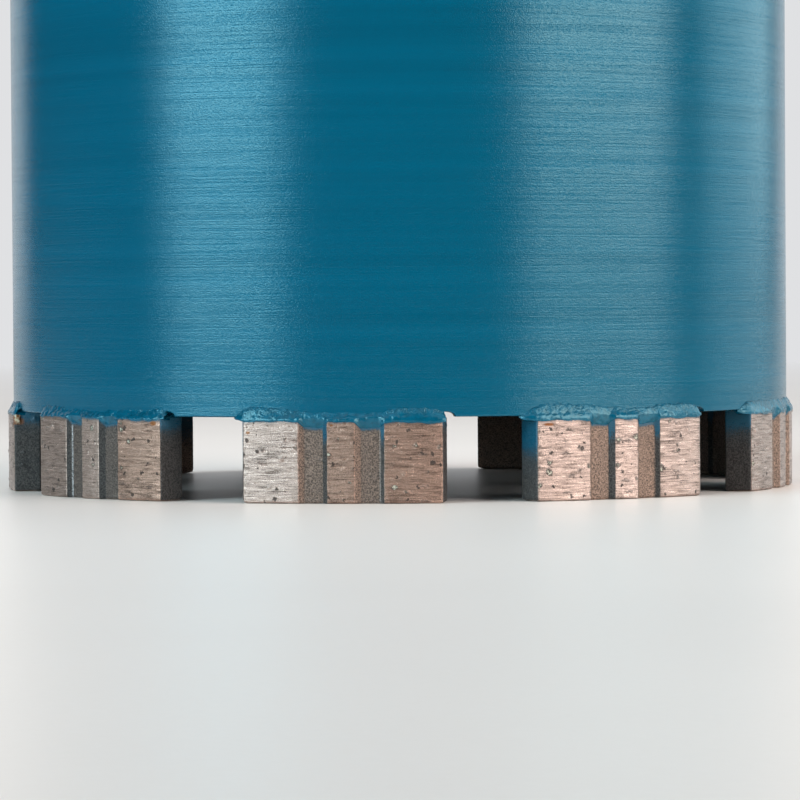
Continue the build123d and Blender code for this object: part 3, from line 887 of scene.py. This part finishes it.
def segment_mesh(sizes, number):
    """A block of sintered bond with two channels up each face, made round +X and turned to its place."""
    stations = segment_columns(sizes)
    columns, rows, layers = len(stations) - 1, 62, 20
    lattice, faces = box_grid(columns, rows, layers)
    share = lattice / np.array([columns, rows, layers])
    length, height, hollow_shade_mix = sizes.segment_length, sizes.segment_height, sizes.segment_thickness
    along = stations[lattice[:, 0]]
    level = share[:, 1] * height
    depth = share[:, 2]
    to_end = length / 2 - np.abs(along)
    to_face = np.minimum(depth, 1 - depth) * hollow_shade_mix
    low_radius = np.where(depth > 0.5, 0.7 * MM, 0.3 * MM)   # the cutting edge
    on_end = to_end < 1e-9
    on_low = share[:, 1] == 0
    on_top = share[:, 1] == 1
    on_face = to_face < 1e-9
    end_in = np.where(on_end, edge_pull(level, CORNER_ROUND) + edge_pull(to_face, UPRIGHT_ROUND), 0)
    low_in = np.where(on_low, edge_pull(to_end, CORNER_ROUND) + edge_pull(to_face, low_radius), 0)
    face_in = np.where(on_face, edge_pull(level, low_radius) + edge_pull(to_end, UPRIGHT_ROUND), 0)
    along = along - np.sign(along) * end_in
    level = level + low_in
    gap = groove_depth(sizes, along)
    # the lands' upright edges are slightly chipped
    for n, edge in enumerate(land_edges(sizes)):
        jag = ragged_line(level, number * 10 + n, 0.2 * MM, 0.07 * MM) * (level > 0.4 * MM)
        jag = -np.sign(edge) * np.abs(jag) if abs(edge) > length / 2 - 0.01 * MM else jag
        along = along + jag * np.exp(-np.abs(along - edge) / (0.25 * MM)) * (depth < OUTSIDE)
    outer = np.sqrt((sizes.bit_radius - 0.04 * MM) ** 2 - along ** 2) - gap
    inner = np.sqrt((sizes.bit_radius - hollow_shade_mix) ** 2 - along ** 2) + gap
    x = outer + (inner - outer) * depth
    x = x + np.where(depth < 0.5, -face_in, face_in)
    points = np.column_stack([x, along, level])
    piece = mesh_object(f"sintered_segment_{number}", to_place(number, points), faces.tolist())
    # what the finish reads at each point. The shift by number keeps the segments from being alike.
    spot = np.column_stack([along + number * 0.13, (x - sizes.bit_radius), level])
    land = (gap < 0.02 * MM) * (depth < OUTSIDE) * ~on_end
    wall = (gap > 0.02 * MM) & (gap < sizes.groove_depth - 0.02 * MM)
    floor = (gap > sizes.groove_depth - 0.02 * MM) & (depth < OUTSIDE)
    faces_left = wall & (np.mod(along, sizes.groove_offset * 2) > sizes.groove_offset) & (number != 3)
    above = level - paint_line(along, number)
    paint = smooth_step(-0.6 * MM, 0.35 * MM, above + gap * 1.2)
    paint = np.where(faces_left, smooth_step(-4.4 * MM, 0.5 * MM, above + gap), paint)
    # overspray fades down the left-hand ends, less far on segment 3
    sprayed = 2.0 if number == 3 else -2.0
    end_fade = smooth_step(sprayed * MM, (11.0 + 0.4 * sprayed) * MM, level) ** 1.6
    left_side = (on_end & (along < 0)) | ((depth > 0.02) & (along < 0))
    wall_fade = smooth_step(6.5 * MM, 11.0 * MM, level) * 0.9
    paint = np.where(left_side, np.maximum(paint, end_fade), paint)
    paint = np.where((depth > 0.02) & (along > 0) | on_end, np.maximum(paint, wall_fade), paint)
    store(piece, "spot", spot, "FLOAT_VECTOR")
    store(piece, "land", land)
    store(piece, "paint", paint)
    # painted shade: the channels of segments 1 and 6 to 9 take the dark colour of the mould's skin, partly
    # or wholly
    floor_shade, wall_shade = CHANNEL_SHADE.get(number, (0.0, 0.0))
    dull = floor * floor_shade + wall * wall_shade
    store(piece, "side", np.maximum(faces_left | on_end | (to_end < 0.05 * MM), dull) * ~land.astype(bool))
    # painted shade: part of the lands of segments 1 and 9 is made darker and browner
    land_shading = {1: smooth_step(-3.0 * MM, -1.5 * MM, along), 9: smooth_step(3.0 * MM, 5.0 * MM, along)}
    store(piece, "land_shade", (depth < OUTSIDE) * land_shading.get(number, 0 * along))
    # a painted highlight along some channel corners, below 9 mm
    corner = np.zeros_like(along)
    for owner, channel, way, amount in GLINT_CORNERS:
        place = channel * sizes.groove_offset + way * sizes.groove_floor / 2
        in_corner = np.abs(stations[lattice[:, 0]] - place) < 0.01 * MM
        corner = np.maximum(corner, amount * in_corner * (owner == number))
    store(piece, "corner_glint", corner * (depth < OUTSIDE) * (level < 9.0 * MM))
    stain = np.zeros_like(along)
    for place, rise, wide, tall in STAINS.get(number, ()):
        reach = np.hypot((along / MM - place) / wide, (level / MM - rise) / tall)
        stain = np.maximum(stain, smooth_step(1.5, 0.4, reach) * smooth_step(0.55, 0.2, depth))
    store(piece, "stain", stain)
    free = smooth_step(0.0, 0.25 * MM, level) * ~on_top
    store(piece, "free", free)
    return piece


def bead_crest(sizes, number, along):
    """Height of a bead above the joint and how far its crest stands out, at each place along it."""
    place = along / MM
    if number in CRESTS:
        places, heights, stands = zip(*CRESTS[number])
        return np.interp(place, places, heights) * MM, np.interp(place, places, stands) * MM
    lump = 0.6 * np.sin(0.52 * place + 2.1 * number) + 0.4 * np.sin(1.37 * place - 1.3 * number)
    return sizes.bead_rise + 0.3 * MM * lump, (0.2 + 0.12 * lump) * MM


def ragged_line(along, seed, finest, height):
    """A jagged line of a given height whose smallest waves are about finest long."""
    dice = np.random.default_rng(seed)
    out = np.zeros_like(along)
    for step, share in ((finest * 4, 0.5), (finest * 2, 0.3), (finest, 0.35)):
        places = np.arange(-20 * MM, 20 * MM, step)
        out += share * np.interp(along, places, dice.uniform(-1, 1, len(places)))
    return out * height


def through_points(controls, count):
    """A smooth curve through control points, for all stations at once: (stations, points, 2)."""
    controls = np.asarray(controls).transpose(2, 0, 1)
    n = controls.shape[1]
    t = np.linspace(0, n - 1, count)
    i = np.clip(t.astype(int), 0, n - 2)
    f = (t - i)[None, :, None]
    p0, p1 = controls[:, np.clip(i - 1, 0, n - 1)], controls[:, i]
    p2, p3 = controls[:, i + 1], controls[:, np.clip(i + 2, 0, n - 1)]
    return 0.5 * (2 * p1 + (p2 - p0) * f + (2 * p0 - 5 * p1 + 4 * p2 - p3) * f ** 2
                  + (3 * p1 - p0 - 3 * p2 + p3) * f ** 3)


def bead_mesh(sizes, number):
    """A strip of solder lofted along its segment: fillets outside and inside, and film in the joint."""
    half = sizes.segment_length / 2
    flare = FLARES[number - 1] * MM
    along = np.concatenate([np.linspace(-half - flare, -half, 10, endpoint=False),
                            np.linspace(-half, half, 170), np.linspace(half, half + BEAD_TAIL, 5)[1:]])
    size = np.interp(along, (-half - flare, -half - 0.75 * flare, -half - 0.3 * flare, -half,
                             half - MM, half, half + BEAD_TAIL), (0.22, 0.62, 0.88, 1.0, 1.0, 0.93, 0.82))
    joint, wall = sizes.segment_height, sizes.barrel_radius - sizes.barrel_wall / 2
    rise, stand = bead_crest(sizes, number, along)
    rise = rise + ragged_line(along, number, 0.3 * MM, 0.18 * MM)
    stand = np.maximum(stand + ragged_line(along, number + 30, 0.5 * MM, 0.05 * MM), -0.05 * MM)
    # the right-hand end is rounded off above the bite in the tube
    past = np.clip(along - half + 0.5 * MM, 0, None) / (0.57 * MM + BEAD_TAIL)
    rise = rise * np.sqrt(np.clip(1 - past ** 2, 0, 1))
    drop = np.maximum(joint - paint_line(along, number), 0.03 * MM)
    drop = drop + ragged_line(along, number + 50, 0.3 * MM, 0.06 * MM)
    gap = groove_depth(sizes, along)
    face = sizes.bit_radius
    proud = sizes.bead_proud
    barrel = sizes.barrel_radius
    same = np.zeros_like(along)
    controls = [
        (same + wall, joint + rise * 0.8),
        (same + barrel - 0.12 * MM, joint + rise + 0.08 * MM),
        (barrel + stand * 0.5, joint + rise + 0.03 * MM),
        (barrel + 0.05 * MM + stand, joint + rise * 0.86),
        (barrel + 0.24 * MM + stand * 0.75 - 0.10 * gap, joint + rise * 0.62),
        (barrel + 0.47 * MM + stand * 0.4 - 0.25 * gap, joint + rise * 0.34),
        (barrel + 0.68 * MM + stand * 0.15 - 0.45 * gap, joint + rise * 0.10),
        (same + face + proud - 0.70 * gap, joint - drop * 0.35 - 0.3 * gap),
        (same + face + proud * 0.8 - 0.90 * gap, joint - drop * 0.85 - 0.7 * gap),
        (same + face - 0.12 * MM - gap, joint - drop - 0.10 * MM - gap),
        (same + wall + 0.4 * MM, joint - drop - 0.2 * MM - gap),
    ]
    outside = through_points(controls, 44)
    inner_face = sizes.bit_radius - sizes.segment_thickness
    back = np.array([(wall - 0.3 * MM, joint - 0.1 * MM), (inner_face + 0.1 * MM, joint - 0.12 * MM),
                     (inner_face - 0.02 * MM, joint + 0.1 * MM), (inner_face + 0.25 * MM, joint + 0.7 * MM),
                     (barrel - sizes.barrel_wall + 0.05 * MM, joint + 1.25 * MM),
                     (wall - 0.3 * MM, joint + 0.9 * MM)])
    back = np.broadcast_to(back, (len(along), len(back), 2))
    ring = np.concatenate([outside, back], axis=1)
    middle = np.array([barrel - 0.45 * MM, joint + 0.1 * MM])
    ring = middle + (ring - middle) * size[:, None, None]
    radius, level = ring[..., 0], ring[..., 1]
    turn = np.arcsin(along / sizes.bit_radius)[:, None]
    points = np.stack([radius * np.cos(turn), radius * np.sin(turn), level], -1)
    faces = capped_rings(*ring.shape[:2])
    piece = mesh_object(f"solder_bead_{number}", to_place(number, points).reshape(-1, 3), faces)
    # only the outside is lumpy: the points that meet the tube and the segment stay where they are
    free = np.zeros(ring.shape[:2])
    free[:, 5:38] = 1.0
    free = free * smooth_step(0.1, 0.6, size)[:, None]
    store(piece, "free", free.ravel())
    above = (ring[..., 1] - joint) / np.maximum(rise, 0.3 * MM)[:, None]
    crest = smooth_step(0.3, 0.75, above) * smooth_step(0.0, 0.2 * MM, stand)[:, None]
    store(piece, "crest", crest.ravel())
    return piece


def flake_mesh(sizes, number):
    """A flake of dried flux on the end of a segment, under its bead."""
    turns = np.linspace(0, 2 * math.pi, 22, endpoint=False)
    rough = 1 + 0.16 * np.sin(2 * turns + 0.6) + 0.10 * np.sin(5 * turns + 1.0)
    rings = []
    corner = math.sqrt(sizes.bit_radius ** 2 - (sizes.segment_length / 2) ** 2)
    for size, out in ((1.0, -0.1 * MM), (0.95, 0.08 * MM), (0.7, 0.2 * MM), (0.3, 0.26 * MM),
                      (0.02, 0.27 * MM)):
        radius = corner - 0.46 * MM + 0.42 * MM * size * rough * np.cos(turns)
        level = 9.30 * MM + 0.80 * MM * size * rough * np.sin(turns)
        rings.append(np.column_stack([radius, 0 * turns + sizes.segment_length / 2 + out, level]))
    points = np.concatenate(rings)
    piece = mesh_object("flux_flake", to_place(number, points), capped_rings(len(rings), len(turns)))
    store(piece, "flux", np.ones(len(points)))
    store(piece, "free", np.full(len(points), 0.3))
    return piece


def hub_mesh():
    """The turned hub: spigot, body with two wrench flats, bore and mouth."""
    bore, body, mouth = 14.0 * MM, HUB_HIGH.y, 16.5 * MM
    foot, plate, top, flat_foot = HUB_LOW.z, PLATE_HIGH.z, HUB_HIGH.z, HUB_HIGH.z - 22 * MM
    levels = np.linspace(top - (mouth - bore), foot, 164)
    outline = [(mouth + 0.15 * MM, top), (mouth, top - 0.1 * MM)]
    outline += [(bore, z) for z in levels]
    outline += [(SPIGOT_RADIUS, foot), (SPIGOT_RADIUS, plate), (body, plate)]
    # the foot of the flats is there twice: once round, and once cut back, which makes their ledge
    start_flat = len(outline)
    outline += [(body, flat_foot), (body, flat_foot)]
    outline += [(body, top - 1.5 * MM), (body - 1.5 * MM, top)]
    outline = np.array(outline)
    across = 20.5 * MM   # axis to a flat
    corner = math.acos(across / body)
    angles = list(np.linspace(0, 2 * math.pi, 192, endpoint=False))
    angles += [corner, math.pi - corner, math.pi + corner, 2 * math.pi - corner]
    angles = np.unique(np.round(angles, 6))
    rings = []
    for angle in angles:
        x, y = outline[:, 0] * math.cos(angle), outline[:, 0] * math.sin(angle)
        cut = np.arange(len(outline)) > start_flat
        x = np.where(cut, np.clip(x, -across, across), x)
        rings.append(np.column_stack([x, y, outline[:, 1]]))
    piece = mesh_object("turned_hub", np.concatenate(rings), close_rings(len(angles), len(outline)))
    in_bore = np.zeros(len(outline))
    in_bore[2:2 + len(levels)] = 1.0
    store(piece, "bore", np.tile(in_bore, len(angles)))
    return piece


def lay_weld(tree, name, section, turns, held, values):
    """A ring weld from its outline, rippled where it is free of the metal it joins.

    held is how many points at the start and at the end of the outline stay on that metal.
    """
    section = np.asarray(section)
    piece = lathe(name, section, turns)
    angles = np.linspace(0, 2 * math.pi, turns, endpoint=False)
    store(piece, "around", np.repeat(angles * section[:, 0].max(), len(section)))
    free = np.zeros(len(section))
    free[held[0]:len(section) - held[1]] = 1.0
    store(piece, "free", np.tile(free, turns))
    piece.data.shade_smooth()
    return through_nodes(piece, tree, values)


def true_wall_normals(piece, radius):
    """Gives the faces of a round wall the exact normals of the cylinder."""
    mesh = piece.data
    corners = np.empty(len(mesh.loops) * 3, np.float32)
    mesh.corner_normals.foreach_get("vector", corners)
    corners = corners.reshape(-1, 3)
    places = np.empty(len(mesh.vertices) * 3, np.float32)
    mesh.vertices.foreach_get("co", places)
    places = places.reshape(-1, 3)
    used = np.empty(len(mesh.loops), np.int32)
    mesh.loops.foreach_get("vertex_index", used)
    face = np.repeat(np.arange(len(mesh.polygons)), [p.loop_total for p in mesh.polygons])
    on_wall = np.abs(np.hypot(places[:, 0], places[:, 1]) - radius) < 2e-6
    whole = np.bincount(face, ~on_wall[used], len(mesh.polygons)) == 0
    chosen = whole[face]
    flat = places[used] * (1, 1, 0)
    corners[chosen] = (flat / np.linalg.norm(flat, axis=1)[:, None])[chosen]
    mesh.normals_split_custom_set(corners.tolist())


# ------------------------------------------------------------------ operators

class BuildBarrel(bpy.types.Operator):
    """Build the painted tube with its notched lower edge"""
    bl_idname = "core_bit.barrel"
    bl_label = "Barrel"

    def execute(self, context):
        sizes = context.scene.core_bit_sizes
        piece = barrel_mesh(sizes)
        piece.data.materials.append(finish_named(teal_enamel, context.scene))
        finish_mesh(piece, 30)
        true_wall_normals(piece, sizes.barrel_radius)
        settle(piece, "teal_paint", "barrel_tube")
        return {"FINISHED"}


class BuildSegments(bpy.types.Operator):
    """Build the grooved cutting segments"""
    bl_idname = "core_bit.segments"
    bl_label = "Cutting segments"

    def execute(self, context):
        sizes = context.scene.core_bit_sizes
        tree = sintered_relief()
        finish = finish_named(sintered_bond, context.scene)
        for number in range(1, SEGMENT_COUNT + 1):
            piece = segment_mesh(sizes, number)
            piece.data.shade_smooth()
            through_nodes(piece, tree, {"Streak depth": 0.035 * MM, "Pit depth": 0.12 * MM,
                                        "Crystal height": 0.03 * MM, "Finish": finish})
            piece.data.set_sharp_from_angle(angle=math.radians(60))
            settle(piece, "sintered_bond", f"segment_{number}")
        return {"FINISHED"}


class BuildBeads(bpy.types.Operator):
    """Build the painted solder beads"""
    bl_idname = "core_bit.beads"
    bl_label = "Solder beads"

    def execute(self, context):
        sizes = context.scene.core_bit_sizes
        tree = solder_relief()
        finish = finish_named(painted_solder, context.scene)
        for number in range(1, SEGMENT_COUNT + 1):
            piece = bead_mesh(sizes, number)
            piece.data.shade_smooth()
            through_nodes(piece, tree, {"Lump size": 1.2 * MM, "Lump height": 0.10 * MM,
                                        "Curl height": 0.22 * MM, "Grain height": 0.06 * MM,
                                        "Finish": finish})
            settle(piece, "painted_braze", f"braze_bead_{number}")
        flake = flake_mesh(sizes, 8)
        flake.data.shade_smooth()
        through_nodes(flake, tree, {"Lump size": 0.5 * MM, "Lump height": 0.2 * MM,
                                    "Curl height": 0.0, "Grain height": 0.1 * MM, "Finish": finish})
        settle(flake, "painted_braze")
        return {"FINISHED"}


class BuildPlate(bpy.types.Operator):
    """Build the end plate and the two ring welds"""
    bl_idname = "core_bit.plate"
    bl_label = "End plate and welds"

    def execute(self, context):
        sizes = context.scene.core_bit_sizes
        outer, inner, hub = sizes.barrel_radius, sizes.barrel_radius - sizes.barrel_wall, HUB_HIGH.y
        low, top, joint, rim = PLATE_LOW.z, PLATE_HIGH.z, BARREL_HIGH.z, 1.5 * MM
        finish = finish_named(teal_enamel, context.scene)
        outline = rounded([(SPIGOT_RADIUS, low), (inner, low), (inner, joint), (outer - TUBE_BEVEL, joint),
                           (outer, joint + TUBE_BEVEL), (outer, top - rim), (outer - rim, top),
                           (SPIGOT_RADIUS, top)],
                          [0, 0.2 * MM, 0, 0, 0, 0.5 * MM, 0.5 * MM, 0])
        plate = lathe("cover_plate", outline, 360)
        plate.data.materials.append(finish)
        finish_mesh(plate, 30)
        settle(plate, "teal_paint", "end_plate")

        tree = weld_ripples()
        crown = 0.5 * MM
        arc = [(outer + crown * math.cos(t), joint + TUBE_BEVEL * math.sin(t))
               for t in np.linspace(-1.35, 1.35, 15)]
        section = [(outer - TUBE_BEVEL, joint), (outer, joint - TUBE_BEVEL), *arc,
                   (outer, joint + TUBE_BEVEL)]
        ring = lay_weld(tree, "plate_ring_weld", section, 1440, (3, 2),
                        {"Ripple length": 1.2 * MM, "Ripple height": 0.16 * MM, "Finish": finish})
        settle(ring, "teal_paint", "plate_weld")

        leg, hollow = 4 * MM, 0.10 * MM
        face = [(hub + leg * (1 - a) - hollow * math.sin(math.pi * a),
                 top + leg * a - hollow * math.sin(math.pi * a)) for a in np.linspace(0, 1, 13)]
        ring = lay_weld(tree, "hub_fillet_weld", [(hub, top), *face], 900, (2, 1),
                        {"Ripple length": 1.3 * MM, "Ripple height": 0.2 * MM, "Finish": finish})
        settle(ring, "teal_paint", "hub_weld")
        return {"FINISHED"}


class BuildHub(bpy.types.Operator):
    """Build the threaded hub"""
    bl_idname = "core_bit.hub"
    bl_label = "Threaded hub"

    def execute(self, context):
        sizes = context.scene.core_bit_sizes
        piece = hub_mesh()
        through_nodes(piece, helical_thread(), {
            "Pitch": sizes.thread_pitch, "Depth": sizes.thread_depth, "Bottom": THREAD_BOTTOM,
            "Run-out": 1.5 * MM, "Finish": finish_named(turned_steel, context.scene)})
        finish_mesh(piece, 35)
        settle(piece, "turned_steel", "threaded_hub")
        return {"FINISHED"}


class BuildStudio(bpy.types.Operator):
    """Set up the floor, the backdrop light, the softboxes and the camera"""
    bl_idname = "core_bit.studio"
    bl_label = "Studio"

    def execute(self, context):
        studio = context.scene.core_bit_studio
        half, below = 9.0, -0.02 * MM   # the floor is just under the cutting edge
        floor = mesh_object("studio_floor", [(-half, -half, below), (half, -half, below),
                                             (half, half, below), (-half, half, below)], [[0, 1, 2, 3]])
        floor.data.materials.append(matt_paper(studio))
        left, right, behind, foot, top = -2.6, 2.2, 3.3, -0.1, 3.2
        wall = mesh_object("studio_backdrop", [(left, behind, foot), (right, behind, foot),
                                               (right, behind, top), (left, behind, top)], [[0, 1, 2, 3]])
        wall.data.materials.append(pale_paper(studio))
        world_light(context.scene, studio)
        softbox("softbox_left", studio.lamp_left, 51.5, 1.25, 0.52, 0.86, 1.0, studio.cool)
        softbox("softbox_right", studio.lamp_right, 60, 1.25, 0.52, 1.20, 1.0, studio.warm, -1)
        softbox("softbox_rim", studio.lamp_rim, 119, 1.25, 0.52, 1.00, 1.0, studio.cool_rim, -1)
        softbox("softbox_top", studio.lamp_top, 0, 0.0, 2.2, 2.4, 2.4, studio.soft_warm)
        data = bpy.data.cameras.new("studio_camera")
        data.lens, data.sensor_width = 171.9, 36.0
        data.clip_start, data.clip_end = 0.01, 60.0
        camera = bpy.data.objects.new("studio_camera", data)
        camera.location = (0.0, -0.4993, 0.02291)
        down, roll = 0.0239, -0.0065   # radians
        turn = Matrix.Rotation(math.radians(90) - down, 4, "X") @ Matrix.Rotation(roll, 4, "Z")
        camera.rotation_euler = turn.to_euler()
        context.scene.collection.objects.link(camera)
        context.scene.camera = camera
        context.scene.view_settings.view_transform = "Standard"
        return {"FINISHED"}


def softbox(name, power, azimuth, distance, level, width, height, colour, side=1):
    """A rectangular lamp that the camera doesn't see, aimed at the bit's foot.

    azimuth is in degrees from -Y, to the left, or to the right where side is -1.
    """
    turn = math.radians(azimuth)
    place = Vector((-side * distance * math.sin(turn), -distance * math.cos(turn), level))
    data = bpy.data.lights.new(name, "AREA")
    data.shape, data.size, data.size_y = "RECTANGLE", width, height
    data.energy, data.color = power, colour
    lamp = bpy.data.objects.new(name, data)
    lamp.location = place
    lamp.rotation_euler = (Vector((0, 0, 0.05)) - place).to_track_quat("-Z", "Y").to_euler()
    lamp.visible_camera = False
    bpy.context.scene.collection.objects.link(lamp)


class CoreBitPanel(bpy.types.Panel):
    """Lists the bit's sizes, finishes and pieces"""
    bl_label = "Core bit"
    bl_idname = "VIEW3D_PT_core_bit"
    bl_space_type = "VIEW_3D"
    bl_region_type = "UI"
    bl_category = "Core bit"

    def draw(self, context):
        for group in ("core_bit_sizes", "core_bit_finishes", "core_bit_studio"):
            box = self.layout.box()
            settings = getattr(context.scene, group)
            for name in settings.bl_rna.properties.keys():
                if name not in ("rna_type", "name"):
                    box.prop(settings, name)
        for operator in OPERATORS:
            self.layout.operator(operator.bl_idname)


OPERATORS = (BuildBarrel, BuildSegments, BuildBeads, BuildPlate, BuildHub, BuildStudio)
GROUPS = (CoreBitSizes, CoreBitFinishes, CoreBitStudio)


def register():
    for made in (*GROUPS, *OPERATORS, CoreBitPanel):
        bpy.utils.register_class(made)
    bpy.types.Scene.core_bit_sizes = PointerProperty(type=CoreBitSizes)
    bpy.types.Scene.core_bit_finishes = PointerProperty(type=CoreBitFinishes)
    bpy.types.Scene.core_bit_studio = PointerProperty(type=CoreBitStudio)


def unregister():
    del bpy.types.Scene.core_bit_sizes
    del bpy.types.Scene.core_bit_finishes
    del bpy.types.Scene.core_bit_studio
    for made in (CoreBitPanel, *reversed(OPERATORS), *reversed(GROUPS)):
        bpy.utils.unregister_class(made)


def main():
    register()
    bpy.ops.core_bit.studio()
    bpy.ops.core_bit.barrel()
    bpy.ops.core_bit.segments()
    bpy.ops.core_bit.beads()
    bpy.ops.core_bit.plate()
    bpy.ops.core_bit.hub()
    bpy.context.view_layer.update()


if __name__ == "__main__":
    main()
